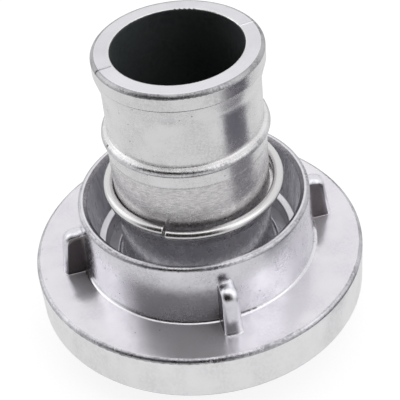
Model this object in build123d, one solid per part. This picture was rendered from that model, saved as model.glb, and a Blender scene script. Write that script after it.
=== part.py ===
from build123d import *
from math import atan2, degrees
import os

# Quarter turn fire hose coupling half: a lug ring that swivels and slides on a hose shank.
# Millimetres. +Z runs along the waterway, from the mating side up to the hose end.
# The origin is on the axis, in the plane that the claw tips and the seal's face share.

# ---- clearances ----
RUNNING_CLEARANCE = 0.08      # radial, shank guide in the lug ring's hub
PASSING_CLEARANCE = 0.30      # radial, bead through the hub and seat flange in its recess
SEAL_CLEARANCE = 0.10         # radial, rubber seal in its groove
AXIAL_CLEARANCE = 0.1         # between the wire ring and the rim that it rests on
POCKET_CLEARANCE = 0.92       # radial, wire ring in the lug ring's pocket
CLAW_SIDE_CLEARANCE = 0.6     # radial, on each side of a claw in the other half's slot
HOOK_END_CLEARANCE = 1.4      # radial, outside the hook of the other half's claw
SLOT_DEPTH_CLEARANCE = 0.4    # past the tips of the other half's claws

# ---- finish of corners ----
EDGE_BREAK = 0.4              # small rounding of machined edges
CORNER_FILLET = 0.6           # rounding of the seat flange and at the root of a claw's hook

# ---- snap ring: one turn of spring wire, its two ends sprung a little apart ----
WIRE_RADIUS = 1.5
SNAP_SPREAD = 0.83            # mean gap between the turned stretch and the ring's wider half
SNAP_TUCK = 0.75              # the upper end lies this much further in
SNAP_LIFT = 0.55              # the upper end lies this much higher
SNAP_SHIFT = 0.3              # the loose ring hangs to one side
SNAP_GAP = 1.9                # degrees between the centres of the end faces
WIRE_END_ROUND = 0.4
SNAP_GAP_AT = -112.0          # direction of the split

# ---- hose shank: walls outside the waterway ----
BORE_RADIUS = 17.9            # waterway
BARREL_WALL = 3.85            # the hose is bound here
LIP_STEP = 1.45               # the lip stands this far out of the barrel
BEAD_STEP = 1.95              # so does the hose stop bead
SLEEVE_WALL = 4.6             # as forged, below the bead
TURNED_WALL = 4.45            # machined stretch above the rim
NECK_WALL = 4.4
SEAT_WIDTH = 5.9              # the lug ring bears on this width of the seat flange

# ---- hose shank: lengths ----
SEAT_FLANGE_THICKNESS = 7.7
NECK_FILLET = 1.0
RIM_THICKNESS = 3.5           # rim that carries the snap ring
RIM_ABOVE_COLLAR = 2.8        # the rim's top stands clear of the lug ring's collar
TURNED_LENGTH = 16.0
SLEEVE_LENGTH = 4.2
BEAD_THICKNESS = 2.6
BEAD_SLOPE = 0.5
BARREL_LENGTH = 13.7
LIP_TAPER = 5.5
LIP_TAPER_BLEND = 6.0         # blend radius between barrel and lip
LIP_LENGTH = 4.6
LIP_ROUND = 1.1
BORE_EDGE = 0.5

# ---- seal ring in the shank's mouth ----
SEAL_PROUD = 0.8              # the seal's face stands this far out of the metal
SEAL_THICKNESS = 6.2
SEAL_RIM_WALL = 2.1           # metal round the mouth that holds the seal
SEAL_UNDERCUT = 1.0           # depth of the groove behind that mouth
SEAL_GROOVE_LIP = 1.8         # metal lip below the groove that holds the seal's bead
SEAL_STEP = 3.0               # the seal's inside lies this far outside the waterway
SEAL_FLARE = 3.8              # height of the flare from the waterway to the seal
SEAL_CHAMFER = 1.0
SEAL_LIP_DEPTH = 3.6          # pressure groove that the water spreads open
SEAL_LIP_GAP = 1.0

# ---- lug ring: heights are measured up from its mating face ----
WEB_THICKNESS = 4.1           # ring of metal that bears on the shank's seat flange
POCKET_DEPTH = 4.5            # counterbore that the snap ring drops into
LEDGE_WIDTH = 2.3             # step between the pocket and the collar's inner wall
COLLAR_FLARE = 1.4            # the collar's inner wall opens this much towards its mouth
COLLAR_MOUTH_CHAMFER = 1.1
COLLAR_WALL = 2.6
COLLAR_RIM_ROUND = 1.5
COLLAR_TAPER = 0.9            # the collar's outside widens this much towards its foot
COLLAR_ROOT_FILLET = 1.0
COLLAR_RISE = 19.6            # collar above the flange
RECESS_WALL = 2.2             # between the seat flange's recess and the claw slots
FLANGE_BACK = 3.0             # metal behind the claw slots
FLANGE_WALL = 8.0             # metal outside the claw slots
FLANGE_EDGE = 1.3             # rounding of the flange's upper edge
FLANGE_FOOT_EDGE = 0.6        # rounding at the mating face

CLAW_COUNT = 2
CLAW_REACH = 11.0             # the claws stand this far out of the mating face
CLAW_SPAN = 45.0              # degrees of arc that one claw covers
CLAW_STEM = 3.6               # radial thickness of the claw below its hook
CLAW_HOOK = 3.0               # the hook reaches this far out past the stem
CLAW_HOOK_HEIGHT = 5.1
CLAW_CORNER = 1.8             # plan view corner radius of a claw
LEAD_IN_LENGTH = 6.0          # bevel on the leading end of a hook
LEAD_IN_ANGLE = 12.0

SLOT_START = 24.0             # degrees round from a claw's centre to where a slot begins
SLOT_END = 157.0
ENTRY_ARC = 50.0              # wide stretch of a slot that takes the other half's hook
SLOT_CORNER = 1.2
RAMP_START = 4.2              # thickness of the slot's lip where the hook enters
RAMP_RISE = 1.4               # the lip thickens by this much over the turn

RIB_COUNT = 4                 # spanner ribs between flange and collar
RIB_FIRST = 10.0              # degrees from a claw's centre to the first rib
RIB_REACH = 6.8               # from the collar's foot to the rib's
RIB_FLARE = 2.0               # the rib's outer side leans in by this much
RIB_BELOW_RIM = 5.5           # from the collar's rim down to the rib
RIB_TOP_DROP = 0.5
RIB_SHOULDER_ROUND = 3.5
RIB_WIDTH = 5.5
RIB_DRAFT = 2.0               # degrees of taper on the rib's sides
RIB_EDGE_ROUND = 1.4          # rounding along the rib's top and outer corners
RIB_OVERLAP = 1.0             # the rib is sunk this far into flange and collar

# ---- radii that follow, from the waterway outwards ----
BARREL_RADIUS = BORE_RADIUS + BARREL_WALL
LIP_RADIUS = BARREL_RADIUS + LIP_STEP
BEAD_RADIUS = BARREL_RADIUS + BEAD_STEP
SLEEVE_RADIUS = BORE_RADIUS + SLEEVE_WALL
TURNED_RADIUS = BORE_RADIUS + TURNED_WALL
NECK_RADIUS = BORE_RADIUS + NECK_WALL
HUB_RADIUS = max(BEAD_RADIUS, LIP_RADIUS) + PASSING_CLEARANCE
GUIDE_RADIUS = HUB_RADIUS - RUNNING_CLEARANCE
SEAT_FLANGE_RADIUS = HUB_RADIUS + SEAT_WIDTH
RECESS_RADIUS = SEAT_FLANGE_RADIUS + PASSING_CLEARANCE
SEAL_MOUTH_RADIUS = SEAT_FLANGE_RADIUS - SEAL_RIM_WALL
SEAL_GROOVE_RADIUS = SEAL_MOUTH_RADIUS + SEAL_UNDERCUT
SEAL_INNER_RADIUS = BORE_RADIUS + SEAL_STEP
SLOT_INNER_RADIUS = RECESS_RADIUS + RECESS_WALL
CLAW_INNER_RADIUS = SLOT_INNER_RADIUS + CLAW_SIDE_CLEARANCE
CLAW_STEM_RADIUS = CLAW_INNER_RADIUS + CLAW_STEM
CLAW_HOOK_RADIUS = CLAW_STEM_RADIUS + CLAW_HOOK
SLOT_NECK_RADIUS = CLAW_STEM_RADIUS + CLAW_SIDE_CLEARANCE
SLOT_OUTER_RADIUS = CLAW_HOOK_RADIUS + HOOK_END_CLEARANCE
FLANGE_RADIUS = SLOT_OUTER_RADIUS + FLANGE_WALL
SNAP_WIDE_RADIUS = TURNED_RADIUS + WIRE_RADIUS + SNAP_SPREAD
SNAP_TIGHT_RADIUS = SNAP_WIDE_RADIUS - SNAP_TUCK / 2
POCKET_RADIUS = SNAP_WIDE_RADIUS + WIRE_RADIUS + SNAP_SHIFT + POCKET_CLEARANCE
LEDGE_RADIUS = POCKET_RADIUS + LEDGE_WIDTH
COLLAR_MOUTH_RADIUS = LEDGE_RADIUS + COLLAR_FLARE
COLLAR_TOP_RADIUS = COLLAR_MOUTH_RADIUS + COLLAR_WALL
COLLAR_BASE_RADIUS = COLLAR_TOP_RADIUS + COLLAR_TAPER
RIB_FOOT_RADIUS = COLLAR_BASE_RADIUS + RIB_REACH
RIB_SHOULDER_RADIUS = RIB_FOOT_RADIUS - RIB_FLARE

# ---- heights that follow, of the lug ring above its mating face ----
SLOT_DEPTH = CLAW_REACH + SLOT_DEPTH_CLEARANCE
FLANGE_HEIGHT = SLOT_DEPTH + FLANGE_BACK
SHOULDER_HEIGHT = SEAL_PROUD + SEAT_FLANGE_THICKNESS
POCKET_FLOOR = SHOULDER_HEIGHT + WEB_THICKNESS
LEDGE_HEIGHT = POCKET_FLOOR + POCKET_DEPTH
COLLAR_HEIGHT = FLANGE_HEIGHT + COLLAR_RISE
RIB_TOP = COLLAR_HEIGHT - RIB_BELOW_RIM

# ---- heights that follow, of the shank above the seal's face ----
SEAT_FLANGE_TOP = SEAL_PROUD + SEAT_FLANGE_THICKNESS
GUIDE_TOP = CLAW_REACH + POCKET_FLOOR - EDGE_BREAK / 2
RIM_HEIGHT = CLAW_REACH + COLLAR_HEIGHT + RIM_ABOVE_COLLAR
TURNED_HEIGHT = RIM_HEIGHT + TURNED_LENGTH
BEAD_HEIGHT = TURNED_HEIGHT + SLEEVE_LENGTH
BARREL_TOP = BEAD_HEIGHT + BEAD_THICKNESS + BARREL_LENGTH
LIP_BOTTOM = BARREL_TOP + LIP_TAPER
SHANK_TOP = LIP_BOTTOM + LIP_LENGTH


def ring_solid(corners):
    """Turn a closed section about Z; each corner is (radius, height, rounding)."""
    points = [(radius, height) for radius, height, _ in corners]
    roundings = [rounding for _, _, rounding in corners]
    with BuildSketch(Plane.XZ) as section:
        with BuildLine():
            FilletPolyline(*points, radius=roundings, close=True)
        make_face()
    return revolve(section.sketch, axis=Axis.Z)


def arc_block(inner, outer, start, end, bottom, top, corner=0.0):
    """Block between two radii and two directions, with rounded plan view corners."""
    middle = (start + end) / 2
    near = [Vector(inner, 0).rotate(Axis.Z, angle) for angle in (start, middle, end)]
    far = [Vector(outer, 0).rotate(Axis.Z, angle) for angle in (start, middle, end)]
    with BuildSketch(Plane.XY.offset(bottom)) as plan:
        with BuildLine():
            ThreePointArc(*near)
            ThreePointArc(*far)
            Line(near[0], far[0])
            Line(near[-1], far[-1])
        make_face()
        if corner:
            fillet(plan.vertices(), corner)
    return extrude(plan.sketch, amount=top - bottom)


def lug_ring_blank():
    """Flange, collar, pocket and hub of the lug ring, all turned about one axis."""
    rim_flat = COLLAR_MOUTH_RADIUS + COLLAR_MOUTH_CHAMFER
    return ring_solid([
        (HUB_RADIUS, SHOULDER_HEIGHT, 0),
        (RECESS_RADIUS, SHOULDER_HEIGHT, 0),
        (RECESS_RADIUS, 0, 0),
        (FLANGE_RADIUS, 0, FLANGE_FOOT_EDGE),
        (FLANGE_RADIUS, FLANGE_HEIGHT, FLANGE_EDGE),
        (COLLAR_BASE_RADIUS, FLANGE_HEIGHT, COLLAR_ROOT_FILLET),
        (COLLAR_TOP_RADIUS, COLLAR_HEIGHT, COLLAR_RIM_ROUND - EDGE_BREAK),
        (rim_flat, COLLAR_HEIGHT, 0),
        (COLLAR_MOUTH_RADIUS, COLLAR_HEIGHT - COLLAR_MOUTH_CHAMFER, 0),
        (LEDGE_RADIUS, LEDGE_HEIGHT, 0),
        (POCKET_RADIUS, LEDGE_HEIGHT, EDGE_BREAK),
        (POCKET_RADIUS, POCKET_FLOOR, 0),
        (HUB_RADIUS, POCKET_FLOOR, EDGE_BREAK),
    ])


def ramp_cut(start, end):
    """Room behind a slot's lip; its floor climbs along a helix, so the hook draws up tight."""
    turn = end - start
    radius = (SLOT_INNER_RADIUS + SLOT_OUTER_RADIUS) / 2
    height = SLOT_DEPTH - RAMP_START - RAMP_RISE
    path = Helix(RAMP_RISE * 360 / turn, RAMP_RISE, radius, center=(0, 0, RAMP_START))
    section = Plane.XZ * Pos(radius, RAMP_START + height / 2) * Rectangle(
        SLOT_OUTER_RADIUS - SLOT_INNER_RADIUS, height
    )
    climb = sweep(section, path=path, is_frenet=True)
    return Rot(0, 0, start) * climb


def claw_slot():
    """The arc slot after the first claw: a wide entry, then a narrow neck with a lip behind it."""
    start = SLOT_START
    end = SLOT_END
    entry_end = start + ENTRY_ARC
    neck = arc_block(SLOT_INNER_RADIUS, SLOT_NECK_RADIUS, start, end, 0, SLOT_DEPTH, SLOT_CORNER)
    entry = arc_block(SLOT_INNER_RADIUS, SLOT_OUTER_RADIUS, start, entry_end, 0, SLOT_DEPTH, SLOT_CORNER)
    roof = arc_block(
        SLOT_INNER_RADIUS, SLOT_OUTER_RADIUS, start, end, RAMP_START + RAMP_RISE, SLOT_DEPTH, SLOT_CORNER
    )
    ramp = ramp_cut(entry_end - SLOT_CORNER, end)
    return neck + entry + roof + ramp


def claw():
    """The first hooked claw: an arc of metal whose head turns outwards."""
    root = SLOT_DEPTH
    tip = -CLAW_REACH
    hook_back = tip + CLAW_HOOK_HEIGHT
    turned = ring_solid([
        (CLAW_INNER_RADIUS, tip, EDGE_BREAK * 2),
        (CLAW_HOOK_RADIUS, tip, EDGE_BREAK * 3),
        (CLAW_HOOK_RADIUS, hook_back, EDGE_BREAK),
        (CLAW_STEM_RADIUS, hook_back, CORNER_FILLET),
        (CLAW_STEM_RADIUS, root, 0),
        (CLAW_INNER_RADIUS, root, 0),
    ])
    half = CLAW_SPAN / 2
    plan = arc_block(
        CLAW_INNER_RADIUS, CLAW_HOOK_RADIUS, -half, half, tip, root, CLAW_CORNER
    )
    length = 2 * LEAD_IN_LENGTH
    lead_in = Pos(0, -length / 2, length / 2) * Box(CLAW_HOOK_RADIUS, length, length)
    lead_in = Rot(LEAD_IN_ANGLE, 0, 0) * lead_in
    lead_in = Pos(CLAW_STEM_RADIUS + CLAW_HOOK_RADIUS / 2, LEAD_IN_LENGTH, hook_back) * lead_in
    lead_in = Rot(0, 0, -half) * lead_in
    return (turned & plan) - lead_in


def spanner_rib():
    """Rounded fin in the corner between flange and collar, for a hook spanner."""
    foot = FLANGE_HEIGHT - RIB_OVERLAP
    inner = COLLAR_TOP_RADIUS - RIB_OVERLAP
    length = RIB_FOOT_RADIUS - inner
    plan = Plane.XY.offset(foot) * Pos(inner + length / 2, 0) * Rectangle(length * 2, RIB_WIDTH)
    drafted = extrude(plan, amount=RIB_TOP - foot, taper=RIB_DRAFT)
    with BuildSketch(Plane.XZ) as side:
        with BuildLine():
            FilletPolyline(
                (inner, foot),
                (RIB_FOOT_RADIUS, foot),
                (RIB_SHOULDER_RADIUS, RIB_TOP - RIB_TOP_DROP),
                (inner, RIB_TOP),
                radius=(0, 0, RIB_SHOULDER_ROUND, 0),
                close=True,
            )
        make_face()
    fin = drafted & extrude(side.sketch, amount=RIB_WIDTH, both=True)
    outer_edges = fin.edges().filter_by(
        lambda edge: edge.center().X > inner + RIB_OVERLAP / 2
        and edge.center().Z > foot + RIB_OVERLAP / 2
        and abs(edge.center().Y) > RIB_WIDTH / 4
    )
    return fillet(outer_edges, RIB_EDGE_ROUND)


def lug_ring():
    """The whole lug ring forging, lifted so that its claw tips are at height zero."""
    ring = lug_ring_blank()
    slot = claw_slot()
    hook = claw()
    rib = spanner_rib()
    for index in range(CLAW_COUNT):
        ring -= Rot(0, 0, index * 360 / CLAW_COUNT) * slot
    for index in range(CLAW_COUNT):
        ring += Rot(0, 0, index * 360 / CLAW_COUNT) * hook
    for index in range(RIB_COUNT):
        ring += Rot(0, 0, RIB_FIRST + index * 360 / RIB_COUNT) * rib
    return Pos(0, 0, CLAW_REACH) * ring


def hose_shank():
    """The shank: seat flange, guide, neck, snap ring rim, bead, barrel and lip in one turning."""
    groove_bottom = SEAL_PROUD + SEAL_GROOVE_LIP
    return ring_solid([
        (SEAL_MOUTH_RADIUS, SEAL_PROUD, 0),
        (SEAT_FLANGE_RADIUS, SEAL_PROUD, CORNER_FILLET),
        (SEAT_FLANGE_RADIUS, SEAT_FLANGE_TOP, CORNER_FILLET),
        (GUIDE_RADIUS, SEAT_FLANGE_TOP, 0),
        (GUIDE_RADIUS, GUIDE_TOP, EDGE_BREAK),
        (NECK_RADIUS, GUIDE_TOP, NECK_FILLET),
        (NECK_RADIUS, RIM_HEIGHT - RIM_THICKNESS, 0),
        (GUIDE_RADIUS, RIM_HEIGHT - RIM_THICKNESS, EDGE_BREAK),
        (GUIDE_RADIUS, RIM_HEIGHT, EDGE_BREAK),
        (TURNED_RADIUS, RIM_HEIGHT, 0),
        (TURNED_RADIUS, TURNED_HEIGHT, 0),
        (SLEEVE_RADIUS, TURNED_HEIGHT, 0),
        (SLEEVE_RADIUS, BEAD_HEIGHT, 0),
        (BEAD_RADIUS, BEAD_HEIGHT + BEAD_SLOPE, EDGE_BREAK * 2),
        (BEAD_RADIUS - BEAD_SLOPE, BEAD_HEIGHT + BEAD_THICKNESS - BEAD_SLOPE, EDGE_BREAK * 2),
        (BARREL_RADIUS, BEAD_HEIGHT + BEAD_THICKNESS, 0),
        (BARREL_RADIUS, BARREL_TOP, LIP_TAPER_BLEND),
        (LIP_RADIUS, LIP_BOTTOM, 0),
        (LIP_RADIUS, SHANK_TOP, LIP_ROUND),
        (BORE_RADIUS, SHANK_TOP, BORE_EDGE),
        (BORE_RADIUS, SEAL_THICKNESS + SEAL_FLARE, 0),
        (SEAL_INNER_RADIUS, SEAL_THICKNESS, 0),
        (SEAL_GROOVE_RADIUS, SEAL_THICKNESS, 0),
        (SEAL_GROOVE_RADIUS, groove_bottom, 0),
        (SEAL_MOUTH_RADIUS, groove_bottom, 0),
    ])


def seal_ring():
    """Rubber lip seal: its outer bead is held in the shank's groove, its face stands proud."""
    top = SEAL_THICKNESS
    bead_radius = SEAL_GROOVE_RADIUS - SEAL_CLEARANCE
    face_radius = SEAL_MOUTH_RADIUS - SEAL_CLEARANCE
    bead_bottom = SEAL_PROUD + SEAL_GROOVE_LIP + SEAL_CLEARANCE
    lip_top = (top + SEAL_LIP_GAP) / 2
    lip_bottom = lip_top - SEAL_LIP_GAP
    groove_end = SEAL_INNER_RADIUS + SEAL_LIP_DEPTH
    return ring_solid([
        (SEAL_INNER_RADIUS, top, 0),
        (bead_radius, top, 0),
        (bead_radius, bead_bottom, 0),
        (face_radius, bead_bottom, 0),
        (face_radius, 0, SEAL_CHAMFER),
        (SEAL_INNER_RADIUS, 0, SEAL_CHAMFER),
        (SEAL_INNER_RADIUS, lip_bottom, 0),
        (groove_end, lip_bottom, 0),
        (groove_end, lip_top, 0),
        (SEAL_INNER_RADIUS, lip_top, 0),
    ])


def wire_half(radius, arc, tilt):
    """Arc of round wire that leaves the origin at right angles to X and curls back towards -X."""
    section = Plane.XZ * Circle(WIRE_RADIUS)
    axis = Axis((-radius, 0, 0), (0, 0, 1))
    half = revolve(section, axis=axis, revolution_arc=arc)
    cut_face = half.faces().filter_by(GeomType.PLANE).sort_by_distance((0, 0, 0))[-1]
    half = fillet(cut_face.edges(), WIRE_END_ROUND)
    return Rot(0, tilt, 0) * half


def snap_ring():
    """Split ring of round wire on the shank's rim; one end springs above and inside the other."""
    across = SNAP_WIDE_RADIUS + SNAP_TIGHT_RADIUS
    arc = (360 - SNAP_GAP) / 2
    tilt = degrees(atan2(SNAP_LIFT / 2, across))
    ring = wire_half(SNAP_TIGHT_RADIUS, arc, tilt)
    ring += mirror(wire_half(SNAP_WIDE_RADIUS, arc, -tilt), about=Plane.XZ)
    ring = Pos(across / 2, 0) * ring
    height = RIM_HEIGHT + AXIAL_CLEARANCE + WIRE_RADIUS + SNAP_LIFT / 2
    return Pos(SNAP_SHIFT, 0, height) * Rot(0, 0, SNAP_GAP_AT + 180) * ring


def main():
    """Build every piece and write one STEP file for each."""
    os.makedirs("parts", exist_ok=True)
    pieces = {
        "lug_ring": lug_ring(),
        "hose_shank": hose_shank(),
        "seal_ring": seal_ring(),
        "snap_ring": snap_ring(),
    }
    for name, piece in pieces.items():
        export_step(piece, f"parts/{name}.step")


if __name__ == "__main__":
    main()
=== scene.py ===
import sys
import logging
import math
from dataclasses import dataclass
from enum import Enum
from typing import Callable, Optional, Sequence, Union

import bpy
from mathutils import Matrix, Vector

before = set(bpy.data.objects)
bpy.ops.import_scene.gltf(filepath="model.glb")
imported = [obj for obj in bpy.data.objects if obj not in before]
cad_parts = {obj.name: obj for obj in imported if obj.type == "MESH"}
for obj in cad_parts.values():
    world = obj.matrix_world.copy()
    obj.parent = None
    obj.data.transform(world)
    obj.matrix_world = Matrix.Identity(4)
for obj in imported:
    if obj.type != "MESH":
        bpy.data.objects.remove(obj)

log = logging.getLogger("fire_hose_coupling")

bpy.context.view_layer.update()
MM = 0.001

Triple = tuple[float, float, float]
Colour = tuple[float, float, float, float]
Value = Union[float, Sequence[float], bpy.types.Node, bpy.types.NodeSocket]

WHITE: Colour = (1.0, 1.0, 1.0, 1.0)
EVEN: Triple = (1.0, 1.0, 1.0)

# The curve between sRGB and linear light.
SRGB_TOE = 0.04045
SRGB_TOE_SLOPE = 12.92
SRGB_OFFSET = 0.055
SRGB_POWER = 2.4

# Settings of the nodes that come again and again.
ADD = {"operation": "ADD"}
SUBTRACT = {"operation": "SUBTRACT"}
MULTIPLY = {"operation": "MULTIPLY"}
LESS_THAN = {"operation": "LESS_THAN"}
ABSOLUTE = {"operation": "ABSOLUTE"}
DEGREES = {"operation": "DEGREES"}
COLOUR_MIX = {"data_type": "RGBA"}
EASED = {"interpolation_type": "SMOOTHSTEP"}
# Corners are rounded in the shading too, so that each edge and root catches a thin line of light.
SOFT_CORNER = {"samples": 6}


# ---------------------------------------------------------------------------
# Colours and nodes
# ---------------------------------------------------------------------------


def linear(hex_colour: str) -> Colour:
    """Turn an sRGB hex colour into linear RGBA.

    Args:
        hex_colour: Colour such as "#D8D9DC".

    Returns:
        Linear red, green, blue and an alpha of 1.
    """
    channels = [int(hex_colour[i : i + 2], 16) / 255 for i in (1, 3, 5)]
    return (
        *[
            c / SRGB_TOE_SLOPE if c <= SRGB_TOE else ((c + SRGB_OFFSET) / (1 + SRGB_OFFSET)) ** SRGB_POWER
            for c in channels
        ],
        1.0,
    )


def per_mm(size_mm: float) -> float:
    """Give the texture scale at which one repeat is this many millimetres wide."""
    return 1 / (size_mm * MM)


def add_node(
    tree: bpy.types.NodeTree, kind: str, settings: Optional[dict[str, object]] = None, *values: Value, **named: Value
) -> bpy.types.Node:
    """Add a node, set its properties, and fill or link its inputs.

    Args:
        tree: Node tree that takes the node.
        kind: Node type after "ShaderNode", such as "TexNoise".
        settings: Properties of the node itself, such as {"operation": "ADD"}.
        *values: Values for the inputs in use, in their order.
        **named: Values for inputs by name, with underscores for spaces. In both, a socket or a
            node's first output in use is linked, and any other value is set.

    Returns:
        The new node.
    """
    node = tree.nodes.new(f"ShaderNode{kind}")
    for key, setting in (settings or {}).items():
        setattr(node, key, setting)
    in_use = [socket for socket in node.inputs if socket.enabled]
    by_name = [(node.inputs[key.replace("_", " ")], value) for key, value in named.items()]
    for socket, value in [*zip(in_use, values), *by_name]:
        if isinstance(value, bpy.types.Node):
            value = next(output for output in value.outputs if output.enabled)
        if isinstance(value, bpy.types.NodeSocket):
            tree.links.new(value, socket)
        else:
            socket.default_value = value
    return node


def fresh_material(name: str) -> tuple[bpy.types.Material, bpy.types.NodeTree]:
    """Make a material whose node tree is still empty.

    Args:
        name: Name of the material.

    Returns:
        The material and its node tree.
    """
    material = bpy.data.materials.new(name)
    material.use_nodes = True
    material.node_tree.nodes.clear()
    return material, material.node_tree


def own_place(tree: bpy.types.NodeTree, stretch: Triple = EVEN) -> Value:
    """Give the point on the piece in its own frame, so that patterns travel with the piece.

    Args:
        tree: Node tree that takes the nodes.
        stretch: Factors for x, y and z; under 1 draws the pattern out along that axis.

    Returns:
        The point.
    """
    place = add_node(tree, "TexCoord").outputs["Object"]
    return place if stretch == EVEN else add_node(tree, "VectorMath", MULTIPLY, place, stretch)


# ---------------------------------------------------------------------------
# Marks that more than one finish has
# ---------------------------------------------------------------------------


@dataclass(frozen=True)
class SoftStep:
    """A soft step in a turned or forged wall: between two heights it rises by a little."""

    start_mm: float
    end_mm: float
    rise_mm: float


@dataclass(frozen=True)
class PartingLine:
    """The thin raised line where the die's halves met, in one plane through the axis.

    It shows as a fine bright and dark scratch across the hose end's face, its edge and the bead.
    """

    bearing: float = -70.0
    half_width_mm: float = 0.4
    height_mm: float = 0.4

    def raised(self, tree: bpy.types.NodeTree, under: Value) -> bpy.types.Node:
        """Lay the line on a surface.

        Args:
            tree: The material's nodes.
            under: The normal below it.

        Returns:
            The normal with the line on it.
        """
        parts = add_node(tree, "SeparateXYZ", None, own_place(tree))
        turn = math.radians(self.bearing)
        off_x = add_node(tree, "Math", MULTIPLY, parts.outputs["X"], math.cos(turn))
        off_y = add_node(tree, "Math", MULTIPLY, parts.outputs["Y"], math.sin(turn))
        off = add_node(tree, "Math", ABSOLUTE, add_node(tree, "Math", ADD, off_x, off_y))
        crest = add_node(tree, "MapRange", None, off, self.half_width_mm * MM, 0.0)
        return add_node(tree, "Bump", Distance=self.height_mm * MM, Height=crest, Normal=under)


# ---------------------------------------------------------------------------
# Finishes
# ---------------------------------------------------------------------------

# Where the noises pass from one tone to the other.
WAVE_SPAN = (0.35, 0.7)
GRAIN_SPAN = (0.3, 0.7)
GRAIN_AND_WAVE_SPAN = (0.8, 1.2)
TEAR_SPAN = (0.62, 0.36)


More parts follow.
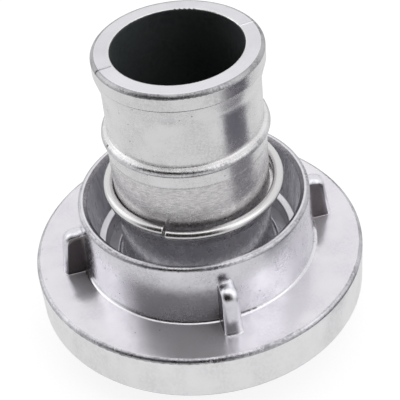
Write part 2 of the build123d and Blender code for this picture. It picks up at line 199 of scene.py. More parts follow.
@dataclass(frozen=True)
class ForgedAluminium:
    """Hot forged aluminium, shot blasted and then tumbled bright in ceramic chips.

    It reads as a soft silver that still mirrors its surroundings, with a slow waviness from the
    die, a fine grain from the chips and a few dark pits. The chips leave a grain of about 0.1 mm,
    too fine to show, so it is drawn several times as coarse.
    """

    name: str
    colour: str = "#E2E1E6"
    shade: str = "#CFCDD6"
    pit_colour: str = "#77747A"
    pit_strength: float = 0.75
    metallic: float = 1.0
    roughness: tuple[float, float] = (0.17, 0.30)
    grain_mm: float = 0.7
    grain_depth_mm: float = 0.010
    grain_detail: float = 4.0
    grain_roughness: float = 0.6
    wave_mm: float = 8.0
    wave_depth_mm: float = 0.07
    pit_mm: float = 1.7
    pit_radius: float = 0.13
    pit_share: float = 0.14
    pit_depth_mm: float = 0.03
    nick_mm: float = 3.0
    nick_radius: float = 0.08
    nick_share: float = 0.0
    nick_depth_mm: float = 0.05
    nick_stretch: Triple = (0.35, 1.0, 1.0)
    edge_mm: float = 0.45
    stretch: Triple = EVEN
    relief: Sequence[SoftStep] = ()
    parting: Optional[PartingLine] = None

    def pits(self, tree: bpy.types.NodeTree, place: Value) -> bpy.types.Node:
        """Scatter pits of many sizes, left where scale was pressed into the metal.

        Args:
            tree: The material's nodes.
            place: Point on the piece.

        Returns:
            1 in a pit and 0 elsewhere.
        """
        cells = add_node(tree, "TexVoronoi", Vector=place, Scale=per_mm(self.pit_mm))
        draw = add_node(tree, "SeparateColor", None, cells.outputs["Color"])
        size = add_node(tree, "Math", MULTIPLY, draw.outputs["Green"], self.pit_radius)
        inside = add_node(tree, "Math", LESS_THAN, cells, size)
        chosen = add_node(tree, "Math", LESS_THAN, draw.outputs["Red"], self.pit_share)
        return add_node(tree, "Math", MULTIPLY, inside, chosen)

    def nicks(self, tree: bpy.types.NodeTree, under: Value) -> bpy.types.Node:
        """Scatter short slim nicks, as parts get that knock together in a bin.

        Args:
            tree: The material's nodes.
            under: The normal below them.

        Returns:
            The normal with the nicks on it.
        """
        place = own_place(tree, self.nick_stretch)
        cells = add_node(tree, "TexVoronoi", Vector=place, Scale=per_mm(self.nick_mm))
        draw = add_node(tree, "SeparateColor", None, cells.outputs["Color"])
        inside = add_node(tree, "Math", LESS_THAN, cells, self.nick_radius)
        chosen = add_node(tree, "Math", LESS_THAN, draw.outputs["Red"], self.nick_share)
        nick = add_node(tree, "Math", MULTIPLY, inside, chosen)
        return add_node(tree, "Bump", Distance=self.nick_depth_mm * MM, Height=nick, Normal=under)

    def shaped(self, tree: bpy.types.NodeTree) -> bpy.types.Node:
        """Round the corners in the shading and add the soft steps that the turned outline leaves out.

        Args:
            tree: The material's nodes.

        Returns:
            The normal before any grain.
        """
        normal = add_node(tree, "Bevel", SOFT_CORNER, Radius=self.edge_mm * MM)
        if not self.relief:
            return normal
        level = add_node(tree, "SeparateXYZ", None, own_place(tree)).outputs["Z"]
        total: Value = 0.0
        for step in self.relief:
            span = (step.start_mm * MM, step.end_mm * MM, 0.0, step.rise_mm)
            total = add_node(tree, "Math", ADD, total, add_node(tree, "MapRange", EASED, level, *span))
        return add_node(tree, "Bump", Distance=MM, Height=total, Normal=normal)

    def material(self) -> bpy.types.Material:
        """Build the material.

        Returns:
            A metal with grain, waves and pits in colour, roughness and bump.
        """
        material, tree = fresh_material(self.name)
        place = own_place(tree, self.stretch)
        grain = add_node(
            tree, "TexNoise", Vector=place, Scale=per_mm(self.grain_mm), Detail=self.grain_detail,
            Roughness=self.grain_roughness,
        )
        wave = add_node(tree, "TexNoise", Vector=place, Scale=per_mm(self.wave_mm))
        pit = self.pits(tree, place)

        # Shade gathers only where slow wave and fine grain are both high, so it looks cloudy, not striped.
        slow_tone = add_node(tree, "MapRange", None, wave, *WAVE_SPAN)
        fine_tone = add_node(tree, "MapRange", None, grain, *GRAIN_SPAN)
        cloudy = add_node(tree, "Math", MULTIPLY, slow_tone, fine_tone)
        tone = add_node(tree, "Mix", COLOUR_MIX, cloudy, linear(self.colour), linear(self.shade))
        dark = add_node(tree, "Math", MULTIPLY, pit, self.pit_strength)
        pitted = add_node(tree, "Mix", COLOUR_MIX, dark, tone, linear(self.pit_colour))
        uneven = add_node(tree, "Math", ADD, grain, wave)
        rough = add_node(tree, "MapRange", None, uneven, *GRAIN_AND_WAVE_SPAN, *self.roughness)

        surface = self.shaped(tree)
        surface = add_node(tree, "Bump", Distance=self.wave_depth_mm * MM, Height=wave, Normal=surface)
        surface = add_node(tree, "Bump", Distance=self.grain_depth_mm * MM, Height=grain, Normal=surface)
        around = add_node(tree, "Math", SUBTRACT, 1.0, pit)
        surface = add_node(tree, "Bump", Distance=self.pit_depth_mm * MM, Height=around, Normal=surface)
        if self.nick_share:
            surface = self.nicks(tree, surface)
        if self.parting:
            surface = self.parting.raised(tree, surface)
        shader = add_node(
            tree, "BsdfPrincipled", Base_Color=pitted, Roughness=rough, Normal=surface, Metallic=self.metallic
        )
        add_node(tree, "OutputMaterial", None, shader)
        return material


@dataclass(frozen=True)
class TurnedAluminium:
    """Aluminium cut on a lathe: fine rings run round the axis, and it mirrors more than the forging.

    The tool's real feed is 0.1 to 0.2 mm a turn, too fine to show, so the rings are drawn coarser.
    """

    name: str
    colour: str
    shade: str
    metallic: float = 1.0
    roughness: float = 0.16
    roughness_spread: float = 0.08
    ring_mm: float = 0.35
    ring_depth_mm: float = 0.004
    ring_detail: float = 3.0
    ring_roughness: float = 0.7
    cloud_mm: float = 4.0
    cloud_detail: float = 4.0
    cloud_roughness: float = 0.6
    wave_mm: float = 8.0
    wave_depth_mm: float = 0.03
    edge_mm: float = 0.4
    anisotropy: float = 0.0
    slope: float = 0.0
    tear_mm: float = 0.0
    tear_depth_mm: float = 0.03
    tear_detail: float = 3.0
    tear_roughness: float = 0.65
    tear_stretch: Triple = (1.0, 1.0, 5.0)
    faced: bool = False
    parting: Optional[PartingLine] = None

    def rings(self, tree: bpy.types.NodeTree, across: Value) -> bpy.types.Node:
        """Cut the tool's rings.

        Args:
            tree: The material's nodes.
            across: Distance across the rings: along the axis, or out from it on a face.

        Returns:
            The rings' height, between 0 and 1.
        """
        line = add_node(tree, "CombineXYZ", None, across)
        return add_node(
            tree, "TexNoise", Vector=line, Scale=per_mm(self.ring_mm), Detail=self.ring_detail,
            Roughness=self.ring_roughness,
        )

    def material(self) -> bpy.types.Material:
        """Build the material.

        Returns:
            A metal whose grooves follow the lathe tool, along the axis or across a face.
        """
        material, tree = fresh_material(self.name)
        place = own_place(tree)
        parts = add_node(tree, "SeparateXYZ", None, place)
        flat = add_node(tree, "CombineXYZ", None, parts.outputs["X"], parts.outputs["Y"])
        reach = add_node(tree, "VectorMath", {"operation": "LENGTH"}, flat)
        rings = self.rings(tree, reach if self.faced else parts.outputs["Z"])
        cloud = add_node(
            tree, "TexNoise", Vector=place, Scale=per_mm(self.cloud_mm), Detail=self.cloud_detail,
            Roughness=self.cloud_roughness,
        )
        wave = add_node(tree, "TexNoise", Vector=place, Scale=per_mm(self.wave_mm))
        streaks = add_node(tree, "Math", MULTIPLY, rings, cloud)
        tone = add_node(tree, "Mix", COLOUR_MIX, streaks, linear(self.colour), linear(self.shade))
        spread = (self.roughness, self.roughness + self.roughness_spread)
        rough = add_node(tree, "MapRange", None, cloud, *GRAIN_SPAN, *spread)

        surface = add_node(tree, "Bevel", SOFT_CORNER, Radius=self.edge_mm * MM)
        if self.slope:
            # A face cut slightly conical, so that it mirrors higher or lower walls than a flat one.
            cone = add_node(tree, "Math", MULTIPLY, reach, self.slope / MM)
            surface = add_node(tree, "Bump", Distance=MM, Height=cone, Normal=surface)
        surface = add_node(tree, "Bump", Distance=self.wave_depth_mm * MM, Height=wave, Normal=surface)
        surface = add_node(tree, "Bump", Distance=self.ring_depth_mm * MM, Height=rings, Normal=surface)
        if self.tear_mm:
            # Short torn strokes round the axis: a dull tool left them, and they make the metal look brushed.
            torn = add_node(
                tree, "TexNoise", Vector=own_place(tree, self.tear_stretch), Scale=per_mm(self.tear_mm),
                Detail=self.tear_detail, Roughness=self.tear_roughness,
            )
            surface = add_node(tree, "Bump", Distance=self.tear_depth_mm * MM, Height=torn, Normal=surface)
            depth = add_node(tree, "MapRange", None, torn, *TEAR_SPAN)
            tone = add_node(tree, "Mix", COLOUR_MIX, depth, tone, linear(self.shade))
        if self.parting:
            surface = self.parting.raised(tree, surface)

        gloss: dict[str, Value] = {}
        if self.anisotropy:
            along = add_node(tree, "Tangent", {"direction_type": "RADIAL", "axis": "Z"})
            gloss = {"Tangent": along, "Anisotropic": self.anisotropy}
        shader = add_node(
            tree, "BsdfPrincipled", Base_Color=tone, Roughness=rough, Normal=surface, Metallic=self.metallic, **gloss
        )
        add_node(tree, "OutputMaterial", None, shader)
        return material


@dataclass(frozen=True)
class DrawnSpringWire:
    """Stainless spring wire as drawn: smooth and bright, with one clean highlight along it.

    The real wire's grain is a few hundredths of a millimetre, too fine to show, so it is drawn coarser.
    """

    name: str
    colour: str = "#D6D5D5"
    roughness: tuple[float, float] = (0.2, 0.28)
    grain_mm: float = 0.4
    grain_depth_mm: float = 0.002
    edge_mm: float = 0.15

    def material(self) -> bpy.types.Material:
        """Build the material.

        Returns:
            A bright smooth metal.
        """
        material, tree = fresh_material(self.name)
        grain = add_node(tree, "TexNoise", Vector=own_place(tree), Scale=per_mm(self.grain_mm))
        rough = add_node(tree, "MapRange", None, grain, *GRAIN_SPAN, *self.roughness)
        edge = add_node(tree, "Bevel", SOFT_CORNER, Radius=self.edge_mm * MM)
        surface = add_node(tree, "Bump", Distance=self.grain_depth_mm * MM, Height=grain, Normal=edge)
        shader = add_node(
            tree, "BsdfPrincipled", Base_Color=linear(self.colour), Roughness=rough, Normal=surface, Metallic=1.0
        )
        add_node(tree, "OutputMaterial", None, shader)
        return material


@dataclass(frozen=True)
class NitrileRubber:
    """Black nitrile rubber, compression moulded: matt, with a pale cloudy bloom on the black.

    The mould's own grain is finer than can show, so it is drawn coarser.
    """

    name: str
    colour: str = "#1D1D1F"
    bloom: str = "#34343A"
    roughness: float = 0.62
    specular: float = 0.4
    bloom_mm: float = 5.0
    bloom_detail: float = 5.0
    bloom_roughness: float = 0.6
    grain_mm: float = 0.5
    grain_depth_mm: float = 0.01
    edge_mm: float = 0.3

    def material(self) -> bpy.types.Material:
        """Build the material.

        Returns:
            A matt black rubber.
        """
        material, tree = fresh_material(self.name)
        place = own_place(tree)
        cloud = add_node(
            tree, "TexNoise", Vector=place, Scale=per_mm(self.bloom_mm), Detail=self.bloom_detail,
            Roughness=self.bloom_roughness,
        )
        grain = add_node(tree, "TexNoise", Vector=place, Scale=per_mm(self.grain_mm))
        tone = add_node(tree, "Mix", COLOUR_MIX, cloud, linear(self.colour), linear(self.bloom))
        edge = add_node(tree, "Bevel", SOFT_CORNER, Radius=self.edge_mm * MM)
        surface = add_node(tree, "Bump", Distance=self.grain_depth_mm * MM, Height=grain, Normal=edge)
        shader = add_node(
            tree, "BsdfPrincipled", Base_Color=tone, Roughness=self.roughness, Normal=surface,
            Specular_IOR_Level=self.specular,
        )
        add_node(tree, "OutputMaterial", None, shader)
        return material


Finish = Union[ForgedAluminium, TurnedAluminium, DrawnSpringWire, NitrileRubber]


# ---------------------------------------------------------------------------
# Dressing the frame's own pieces
# ---------------------------------------------------------------------------

# How far a face's normal rises: hardly on a turned wall, and almost all the way on a flat.
UPRIGHT = 0.02
TILTED = 0.1
SIDEWAYS = 0.3
RISING = 0.7
LEVEL = 0.995
DEAD_LEVEL = 0.9995
# How far it looks out from the axis: this much towards it on the wall of a bore or cup.
INWARD = -0.5
# Facets' middles lie a little off the true surface, so a zone reaches this much further, in millimetres.
SLACK = 0.1
WIDE_SLACK = 0.5
# The finish of a bore reaches this far round the bore's broken edge, in millimetres.
EDGE_REACH = 0.2


@dataclass(frozen=True)
class FacePlace:
    """Where a face of a turned piece lies: its middle's radius, bearing and height, and which way it looks."""

    radius: float
    bearing: float
    height: float
    outward: float
    upward: float

    @classmethod
    def of(cls, face: bpy.types.MeshPolygon) -> "FacePlace":
        """Measure a face.

        Args:
            face: Face of a mesh that stands round the Z axis.

        Returns:
            Its place in millimetres and degrees.
        """
        middle, normal = face.center, face.normal
        radius = math.hypot(middle.x, middle.y)
        outward = (middle.x * normal.x + middle.y * normal.y) / max(radius, sys.float_info.epsilon)
        bearing = math.degrees(math.atan2(middle.y, middle.x))
        return cls(radius / MM, bearing, middle.z / MM, outward, normal.z)


@dataclass(frozen=True)
class Zone:
    """Faces that one machining or forging step left, and the finish it left on them."""

    finish: Finish
    holds: Callable[[FacePlace], bool]


def dress(piece: bpy.types.Object, base: Finish, zones: Sequence[Zone] = ()) -> None:
    """Give each face of a piece the finish of the first zone that holds it.

    Args:
        piece: Mesh object in the row frame.
        base: Finish of the faces that no zone holds.
        zones: Zones in order of precedence.
    """
    mesh = piece.data
    mesh.materials.clear()
    finishes = list(dict.fromkeys([base, *[zone.finish for zone in zones]]))
    for finish in finishes:
        mesh.materials.append(finish.material())
    for face in mesh.polygons:
        place = FacePlace.of(face)
        found = next((zone.finish for zone in zones if zone.holds(place)), base)
        face.material_index = finishes.index(found)


@dataclass
class LugRing:
    """The lug ring forging: flange, collar, ribs, claws and slots."""

    node: str = "lug_ring"
    flange_top: float = 25.4
    flange_radius: float = 49.0
    flange_edge: float = 1.35
    collar_top: float = 45.0
    collar_radius: float = 34.3
    collar_edge: float = 1.6
    mouth_depth: float = 3.0
    cup_radius: float = 32.4
    web_top: float = 23.6
    pocket_radius: float = 27.4
    ledge_span: tuple[float, float] = (26.6, 43.0)
    rib_count: int = 4
    rib_first: float = 10.0
    rib_foot: float = 41.5
    rib_half_width: float = 2.85
    rib_top: float = 39.6

    def in_cup(self, place: FacePlace) -> bool:
        """Tell whether a face lies in the collar's open cup."""
        return place.radius < self.cup_radius and place.height > self.web_top

    def on_cup_wall(self, place: FacePlace) -> bool:
        """Tell whether a face is on the cup's wall, as it left the die."""
        return self.in_cup(place) and place.outward < INWARD

    def on_ledge(self, place: FacePlace) -> bool:
        """Tell whether a face is the flat step between pocket and collar."""
        return self.in_cup(place) and self.ledge_span[0] < place.height < self.ledge_span[1] and place.upward > RISING

    def in_pocket(self, place: FacePlace) -> bool:
        """Tell whether a face is in the bored pocket for the wire ring."""
        return self.in_cup(place) and place.radius < self.pocket_radius + EDGE_REACH

    def on_mouth_bevel(self, place: FacePlace) -> bool:
        """Tell whether a face is on the bevel just inside the collar's rim."""
        near_rim = place.height > self.collar_top - self.mouth_depth
        return near_rim and place.outward < -TILTED and SIDEWAYS < place.upward < LEVEL

    def on_collar_edge(self, place: FacePlace) -> bool:
        """Tell whether a face is in the collar rim's rounded outer edge."""
        near_rim = place.height > self.collar_top - self.collar_edge
        on_collar = place.radius < self.collar_radius + WIDE_SLACK
        return near_rim and on_collar and place.outward > UPRIGHT and TILTED < place.upward < LEVEL

    def on_rib(self, place: FacePlace) -> bool:
        """Tell whether a face belongs to a spanner rib."""
        pitch = 360 / self.rib_count
        off = math.radians((place.bearing - self.rib_first + pitch / 2) % pitch - pitch / 2)
        along, across = place.radius * math.cos(off), place.radius * math.sin(off)
        beside = abs(across) < self.rib_half_width and self.collar_radius - SLACK < along < self.rib_foot
        return beside and self.flange_top + SLACK < place.height < self.rib_top

    def on_rib_side(self, place: FacePlace) -> bool:
        """Tell whether a face is on a rib's flat side."""
        return self.on_rib(place) and abs(place.outward) < SIDEWAYS and abs(place.upward) < SIDEWAYS

    def on_flange_top(self, place: FacePlace) -> bool:
        """Tell whether a face is the flange's flat top."""
        return abs(place.height - self.flange_top) < WIDE_SLACK and place.upward > LEVEL

    def on_flange_wall(self, place: FacePlace) -> bool:
        """Tell whether a face is on the flange's outer wall."""
        return place.radius > self.flange_radius - WIDE_SLACK and abs(place.upward) < UPRIGHT

    def on_flange_edge(self, place: FacePlace) -> bool:
        """Tell whether a face is in the flange's rounded upper edge."""
        return place.radius > self.flange_radius - self.flange_edge and UPRIGHT < place.upward < LEVEL

    def zones(self) -> list[Zone]:
        """List what each forging and machining step left, and where shade and dark reflections are painted.

        Returns:
            The zones in order of precedence.
        """
        # The mouth's bevel is painted dark in a grainy line just inside the rim: painted shade, where the bevel turns
        # away from the light.
        mouth = ForgedAluminium(
            "forged_aluminium_mouth_bevel_painted_shade", colour="#A9A7AD", shade="#605E64", roughness=(0.2, 0.36),
            grain_depth_mm=0.05, pit_share=0.2,
        )
        # The faced ledge is cut a little conical: a clean pale ring down in the cup.
        ledge = TurnedAluminium(
            "faced_aluminium_ledge", colour="#F4F4F6", shade="#DEDDE1", roughness=0.3, slope=0.32, faced=True,
        )
        # The bored pocket is dull and streaky, with chatter from a long tool; its dark tone is painted shade down in
        # the recess.
        pocket = TurnedAluminium(
            "bored_aluminium_pocket_painted_shade", colour="#CFCED3", shade="#66656B", metallic=0.65, roughness=0.26,
            ring_mm=0.5, wave_mm=3.0, wave_depth_mm=0.12,
        )
        # The cup keeps the die's skin: grey, half matt and drawn down the wall in long streaks.
        die_skin = ForgedAluminium(
            "forged_aluminium_collar_inside", colour="#EEEDF3", shade="#ADACB6", metallic=0.55,
            roughness=(0.22, 0.36), grain_mm=0.8, grain_depth_mm=0.03, stretch=(1.0, 1.0, 0.14), pit_share=0.0,
        )
        # The ribs' sides are painted dark beside the bright noses: a painted dark reflection of the flange and the
        # room's dark side.
        rib_side = ForgedAluminium(
            "forged_aluminium_rib_side_painted_reflection", colour="#858082", shade="#655F61", roughness=(0.14, 0.26), edge_mm=1.6,
            pit_share=0.05,
        )
        # The ribs' noses take most of the chips' rubbing: smooth and bright, with one long highlight.
        rib = ForgedAluminium(
            "forged_aluminium_rib", roughness=(0.1, 0.2), edge_mm=2.2, grain_depth_mm=0.012, pit_share=0.01
        )
        # The flange's top is flat and smooth enough to mirror the collar, under a few nicks.
        flange_top = ForgedAluminium(
            "forged_aluminium_flange_top", colour="#E9E7EC", shade="#D9D6DE", metallic=0.72, roughness=(0.13, 0.27),
            nick_share=0.2,
        )
        # The flange's wall is the palest place: blasted harder, so it scatters the table's white.
        flange_wall = ForgedAluminium(
            "forged_aluminium_flange_wall", colour="#FEFDFE", shade="#EFEEEF", metallic=0.9, roughness=(0.3, 0.46),
            grain_mm=0.8, grain_depth_mm=0.04, pit_share=0.12, stretch=(1.0, 1.0, 0.6),
        )
        # Where the flash was trimmed off, the edges glitter in light and dark grains.
        trimmed = ForgedAluminium(
            "forged_aluminium_trimmed_edge", colour="#C9C8CD", shade="#68666C", roughness=(0.2, 0.4),
            grain_depth_mm=0.12, pit_share=0.3,
        )
        return [
            Zone(mouth, self.on_mouth_bevel),
            Zone(ledge, self.on_ledge),
            Zone(pocket, self.in_pocket),
            Zone(die_skin, self.on_cup_wall),
            Zone(rib_side, self.on_rib_side),
            Zone(rib, self.on_rib),
            Zone(flange_top, self.on_flange_top),
            Zone(flange_wall, self.on_flange_wall),
            Zone(trimmed, self.on_flange_edge),
            Zone(trimmed, self.on_collar_edge),
        ]

    def build(self) -> list[bpy.types.Object]:
        """Dress the ring's own mesh.

        Returns:
            The ring's pieces.
        """
        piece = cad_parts[self.node]
        # The skin is a soft bluish silver that mirrors the room in broad cloudy patches.
        skin = ForgedAluminium("forged_aluminium_tumbled", colour="#E1E0E4", shade="#CCCAD1", roughness=(0.15, 0.28))
        dress(piece, skin, self.zones())
        return [piece]


@dataclass
class HoseShank:
    """The shank: one forging, bored, faced and turned where the lug ring and its wire ring run."""

    node: str = "hose_shank"
    bore_radius: float = 17.9
    least_wall: float = 3.0
    top: float = 94.4
    lip_edge: float = 1.2
    rim_bottom: float = 44.3
    turned_to: float = 63.8
    bead_span: tuple[float, float] = (67.9, 70.7)
    sleeve_radius: float = 22.6
    parting: PartingLine = PartingLine()
    # The taper that opens to the lip is blended into barrel and lip, with a thin crease at its top.
    lip_blend: tuple[SoftStep, ...] = (
        SoftStep(84.0, 90.0, -1.45),
        SoftStep(84.0, 89.8, 1.05),
        SoftStep(89.55, 89.8, 0.22),
    )

    def in_bore(self, place: FacePlace) -> bool:
        """Tell whether a face is on the waterway's wall."""
        return place.radius < self.bore_radius + EDGE_REACH and place.outward < INWARD

    def on_end_face(self, place: FacePlace) -> bool:
        """Tell whether a face is the flat end that the hose goes over."""
        return place.height > self.top - SLACK and place.upward > DEAD_LEVEL

    def on_lip_edge(self, place: FacePlace) -> bool:
        """Tell whether a face is in the rounded edge round the hose end."""
        return place.height > self.top - self.lip_edge and place.outward > UPRIGHT and place.upward > UPRIGHT

    def on_bead(self, place: FacePlace) -> bool:
        """Tell whether a face is on the hose stop bead."""
        return self.bead_span[0] < place.height < self.bead_span[1] and place.radius > self.sleeve_radius

    def on_turned_stretch(self, place: FacePlace) -> bool:
        """Tell whether a face is on the rim or the machined stretch above it."""
        outside = place.radius > self.bore_radius + self.least_wall
        return outside and self.rim_bottom - SLACK < place.height < self.turned_to

    def below_rim(self, place: FacePlace) -> bool:
        """Tell whether a face is on the neck, the guide or the seat flange."""
        return place.height < self.rim_bottom

    def zones(self) -> list[Zone]:
        """List what each forging and machining step left, and where a dark reflection is painted.

        Returns:
            The zones in order of precedence.
        """
        # The waterway keeps the forging's scale: nearly black and matt.
        bore = ForgedAluminium(
            "forged_aluminium_bore_skin", colour="#4C5152", shade="#34393A", metallic=0.3, roughness=(0.5, 0.65),
            grain_mm=1.2, grain_depth_mm=0.05,
        )
        # The end is faced on the lathe: an even silver that shifts round the ring as a disc does.
        end_face = TurnedAluminium(
            "faced_aluminium", colour="#E3E2E6", shade="#CFCED3", roughness=0.3, ring_depth_mm=0.02, ring_mm=0.6,
            edge_mm=1.2, anisotropy=0.8, slope=-0.17, faced=True, parting=self.parting,
        )
        # The lip's edge is trimmed and grainy, and painted dark under the bright end face: a painted dark reflection
        # of the room's dark side.
        lip = ForgedAluminium(
            "forged_aluminium_trimmed_lip_painted_reflection", colour="#B2B1B4", shade="#5E5C61", roughness=(0.16, 0.34),
            grain_depth_mm=0.08, pit_share=0.2, edge_mm=1.7, parting=self.parting,
        )
        # The bead was trimmed too: grainy, bright where it turns up and dark where it turns down.
        bead = ForgedAluminium(
            "forged_aluminium_trimmed_bead", colour="#DAD9DB", shade="#8C8A8F", roughness=(0.16, 0.34),
            grain_depth_mm=0.08, pit_share=0.25, edge_mm=1.0, parting=self.parting,
        )
        # The turned stretch looks brushed: warm grey strokes round the axis.
        turned = TurnedAluminium(
            "turned_aluminium", colour="#EFEDEE", shade="#C0BEBF", roughness=0.22, roughness_spread=0.12,
            cloud_mm=1.2, ring_depth_mm=0.008, tear_mm=1.6, tear_depth_mm=0.024,
        )
        # The neck is turned too but never rubbed bright: darker, with soft blotches.
        neck = TurnedAluminium(
            "turned_aluminium_neck", colour="#ECEBEF", shade="#B9B8BE", metallic=0.7, roughness=0.2,
            roughness_spread=0.12, cloud_mm=2.0,
        )
        return [
            Zone(bore, self.in_bore),
            Zone(end_face, self.on_end_face),
            Zone(lip, self.on_lip_edge),
            Zone(bead, self.on_bead),
            Zone(turned, self.on_turned_stretch),
            Zone(neck, self.below_rim),
        ]

    def build(self) -> list[bpy.types.Object]:
        """Dress the shank's own mesh.

        Returns:
            The shank's pieces.
        """
        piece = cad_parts[self.node]
        # The barrel's skin is a plain silver with more pits than the ring's.
        skin = ForgedAluminium(
            "forged_aluminium_tumbled_shank", colour="#E5E4E5", shade="#CFCDCE", roughness=(0.19, 0.31),
            grain_depth_mm=0.016, pit_share=0.3, pit_radius=0.16, edge_mm=0.9, relief=self.lip_blend,
        )
        dress(piece, skin, self.zones())
        return [piece]


@dataclass
class SnapRing:
    """The split ring of spring wire."""

    node: str = "snap_ring"
    wire: DrawnSpringWire = DrawnSpringWire("stainless_spring_wire")

    def build(self) -> list[bpy.types.Object]:
        """Dress the wire.

        Returns:
            The ring's pieces.
        """
        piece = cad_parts[self.node]
        dress(piece, self.wire)
        return [piece]


@dataclass
class SealRing:
    """The rubber lip seal."""

    node: str = "seal_ring"
    rubber: NitrileRubber = NitrileRubber("nitrile_rubber_black")

    def build(self) -> list[bpy.types.Object]:
        """Dress the seal.

        Returns:
            The seal's pieces.
        """
        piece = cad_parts[self.node]
        dress(piece, self.rubber)
        return [piece]


# ---------------------------------------------------------------------------
# Studio
# ---------------------------------------------------------------------------


class Ray(Enum):
    """Light Path outputs that tell what the eye sees from what the metal mirrors."""

    CAMERA = "Is Camera Ray"
    GLOSSY = "Is Glossy Ray"


@dataclass(frozen=True)
class WallPatch:
    """A soft edged part of the studio's walls, by its bearing from the front and its height, in degrees."""

    bearings: tuple[float, float]
    heights: tuple[float, float]
    level: float
    softness: float = 8.0
    tint: str = "#FFFFFF"

    def colour(self) -> Colour:
        """Give the patch's linear colour at its level."""
        red, green, blue, _ = linear(self.tint)
        return (red * self.level, green * self.level, blue * self.level, 1.0)

    def mask(self, tree: bpy.types.NodeTree, bearing: Value, height: Value) -> bpy.types.Node:
        """Fade the patch in and out over both directions.

        Args:
            tree: The world's nodes.
            bearing: Bearing of the looked at point.
            height: Height of the looked at point.

        Returns:
            1 in the patch and 0 well outside it.
        """
        soft = self.softness
        share: Value = 1.0
        for angle, (start, end) in ((bearing, self.bearings), (height, self.heights)):
            rising = add_node(tree, "MapRange", EASED, angle, start - soft, start + soft)
            falling = add_node(tree, "MapRange", EASED, angle, end - soft, end + soft, 1.0, 0.0)
            share = add_node(tree, "Math", MULTIPLY, share, add_node(tree, "Math", MULTIPLY, rising, falling))
        return share


@dataclass(frozen=True)
class TableMat:
    """A dark mat that lies flat on the table beside the coupling and shows only in the metal."""

    name: str
    bearings: tuple[float, float]
    reach_mm: tuple[float, float]
    colour: str
    lift_mm: float = 0.5
    roughness: float = 0.9

    def corners(self) -> list[Triple]:
        """Give the mat's four corners, in order round it, in metres."""
        (near, far), (left, right) = self.reach_mm, self.bearings
        return [
            (reach * MM * math.sin(math.radians(turn)), -reach * MM * math.cos(math.radians(turn)), self.lift_mm * MM)
            for reach, turn in ((near, left), (far, left), (far, right), (near, right))
        ]

    def build(self) -> bpy.types.Object:
        """Lay the mat.

        Returns:
            The mat object.
        """
        mesh = bpy.data.meshes.new(self.name)
        mesh.from_pydata(self.corners(), [], [(0, 1, 2, 3)])
        material, tree = fresh_material(self.name)
        cloth = add_node(
            tree, "BsdfPrincipled", Base_Color=linear(self.colour), Roughness=self.roughness, Specular_IOR_Level=0.0
        )
        add_node(tree, "OutputMaterial", None, cloth)
        mesh.materials.append(material)
        panel = bpy.data.objects.new(self.name, mesh)
        panel.visible_camera = False
        panel.visible_shadow = False
        panel.visible_diffuse = False
        bpy.context.scene.collection.objects.link(panel)
        return panel


@dataclass(frozen=True)
class Table:
    """The table: white to the eye, with a faint shadow, and pale grey where the metal mirrors it."""

    name: str = "floor"
    half_width: float = 3.0
    seen_colour: str = "#808080"
    seen_glow: float = 0.85
    mirrored_colour: str = "#909091"
    mirrored_glow: float = 0.56
    roughness: float = 0.9

    def build(self) -> bpy.types.Object:
        """Lay the table under the coupling.

        Returns:
            The table object.
        """
        half = self.half_width
        mesh = bpy.data.meshes.new(self.name)
        mesh.from_pydata([(-half, -half, 0), (half, -half, 0), (half, half, 0), (-half, half, 0)], [], [(0, 1, 2, 3)])
        material, tree = fresh_material("studio_floor_white")
        path = add_node(tree, "LightPath")
        seen, mirrored = (path.outputs[ray.value] for ray in (Ray.CAMERA, Ray.GLOSSY))
        colour = add_node(tree, "Mix", COLOUR_MIX, seen, linear(self.mirrored_colour), linear(self.seen_colour))
        glow = add_node(
            tree, "Math", ADD,
            add_node(tree, "Math", MULTIPLY, seen, self.seen_glow),
            add_node(tree, "Math", MULTIPLY, mirrored, self.mirrored_glow),
        )
        board = add_node(
            tree, "BsdfPrincipled", Base_Color=colour, Roughness=self.roughness, Specular_IOR_Level=0.0,
            Emission_Color=WHITE, Emission_Strength=glow,
        )
        add_node(tree, "OutputMaterial", None, board)
        mesh.materials.append(material)
        table = bpy.data.objects.new(self.name, mesh)
        bpy.context.scene.collection.objects.link(table)
        return table


@dataclass(frozen=True)
class Softbox:
    """A square softbox that points at the middle of the coupling."""

    name: str = "softbox_left"
    place: Triple = (-0.75, 0.25, 0.60)
    side: float = 0.7
    watts: float = 1.2
    aim: Triple = (0.0, 0.0, 0.04)

    def build(self) -> bpy.types.Object:
        """Hang the softbox.

        Returns:
            The lamp object.
        """
        data = bpy.data.lights.new(self.name, "AREA")
        data.shape = "SQUARE"
        data.size = self.side
        data.energy = self.watts
        lamp = bpy.data.objects.new(self.name, data)
        lamp.location = self.place
        lamp.rotation_euler = (Vector(self.aim) - Vector(self.place)).to_track_quat("-Z", "Y").to_euler()
        bpy.context.scene.collection.objects.link(lamp)
        return lamp


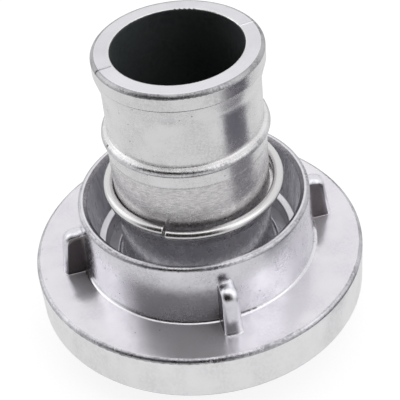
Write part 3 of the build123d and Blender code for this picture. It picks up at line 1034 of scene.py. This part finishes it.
@dataclass(frozen=True)
class Camera:
    """The camera: a long lens that looks down at the coupling from the front, held a little askew.

    Angles are in degrees. Yaw and pitch turn it off its target, and roll tilts the horizon.
    """

    name: str = "studio_camera"
    focal_mm: float = 103.5
    sensor_mm: float = 36.0
    distance_mm: float = 340.8
    elevation: float = 41.386
    target_height_mm: float = 33.98
    roll: float = -6.104
    yaw: float = 0.29
    pitch: float = 0.82
    nearest: float = 0.01

    def build(self) -> bpy.types.Object:
        """Place the camera.

        Returns:
            The camera object.
        """
        angle = math.radians(self.elevation)
        back = Vector((0, -math.cos(angle), math.sin(angle)))
        right = Vector((1, 0, 0))
        up = right.cross(-back)
        position = Vector((0, 0, self.target_height_mm * MM)) + back * (self.distance_mm * MM)
        look = -back + right * math.tan(math.radians(self.yaw)) + up * math.tan(math.radians(self.pitch))
        look.normalize()
        side = look.cross(Vector((0, 0, 1))).normalized()
        head = side.cross(look)
        turn = math.radians(self.roll)
        image_x = side * math.cos(turn) + head * math.sin(turn)
        image_y = head * math.cos(turn) - side * math.sin(turn)
        data = bpy.data.cameras.new(self.name)
        data.lens = self.focal_mm
        data.sensor_width = self.sensor_mm
        data.clip_start = self.nearest
        camera = bpy.data.objects.new(self.name, data)
        rotation = Matrix((image_x, image_y, -look)).transposed()
        camera.matrix_world = Matrix.Translation(position) @ rotation.to_4x4()
        bpy.context.scene.collection.objects.link(camera)
        bpy.context.scene.camera = camera
        return camera


@dataclass
class Studio:
    """Walls, table, mats, softbox and camera."""

    wall_colour: Colour = WHITE
    patches: tuple[WallPatch, ...] = (
        # The ceiling is brighter than the walls and brightens each edge that turns up.
        WallPatch(bearings=(-200.0, 200.0), heights=(66.0, 120.0), level=1.5),
        # A bright wall at the right is the highlight down the collar and over the flange.
        WallPatch(bearings=(40.0, 92.0), heights=(25.0, 62.0), level=1.7, softness=10.0),
        # A dimmer wall at the left takes the glare off the collar's left side.
        WallPatch(bearings=(-128.0, -64.0), heights=(15.0, 62.0), level=0.7, softness=10.0),
        # The dark side of the room, where the camera stands, is the dark band at the collar's foot.
        WallPatch(bearings=(-72.0, 29.0), heights=(-10.0, 68.0), level=0.035, tint="#DCC4C0"),
    )
    # Mirrored upright in the shank, the mats are the dark streak down its right side.
    mats: tuple[TableMat, ...] = (
        TableMat("grey_mat", bearings=(50.0, 90.0), reach_mm=(84.0, 121.0), colour="#85838B"),
        TableMat("dark_mat", bearings=(50.0, 90.0), reach_mm=(121.0, 260.0), colour="#686670"),
    )
    table: Table = Table()
    softbox: Softbox = Softbox()
    camera: Camera = Camera()

    def walls(self) -> None:
        """Fill the surroundings: white to the eye, and walls with soft patches in the metal."""
        world = bpy.data.worlds.new("studio_world")
        bpy.context.scene.world = world
        world.use_nodes = True
        tree = world.node_tree
        tree.nodes.clear()
        parts = add_node(tree, "SeparateXYZ", None, add_node(tree, "TexCoord").outputs["Generated"])
        ahead = add_node(tree, "Math", MULTIPLY, parts.outputs["Y"], -1.0)
        turn = add_node(tree, "Math", {"operation": "ARCTAN2"}, parts.outputs["X"], ahead)
        climb = add_node(tree, "Math", {"operation": "ARCSINE"}, parts.outputs["Z"])
        bearing, height = (add_node(tree, "Math", DEGREES, angle) for angle in (turn, climb))
        colour: Value = self.wall_colour
        for patch in self.patches:
            mask = patch.mask(tree, bearing, height)
            colour = add_node(tree, "Mix", COLOUR_MIX, mask, colour, patch.colour())
        seen = add_node(tree, "LightPath").outputs[Ray.CAMERA.value]
        glow = add_node(tree, "Background", None, add_node(tree, "Mix", COLOUR_MIX, seen, colour, WHITE), 1.0)
        add_node(tree, "OutputWorld", None, glow)

    def build(self) -> None:
        """Set up everything round the coupling."""
        self.walls()
        self.table.build()
        self.softbox.build()
        for mat in self.mats:
            mat.build()
        self.camera.build()
        bpy.context.scene.view_settings.view_transform = "Standard"


def main() -> None:
    """Dress the coupling, set up the studio and report each piece."""
    logging.basicConfig(level=logging.INFO, format="%(name)s: %(message)s")
    for assembly in (HoseShank(), LugRing(), SnapRing(), SealRing()):
        for piece in assembly.build():
            log.info("%s: %d faces", piece.name, len(piece.data.polygons))
    Studio().build()


if __name__ == "__main__":
    main()
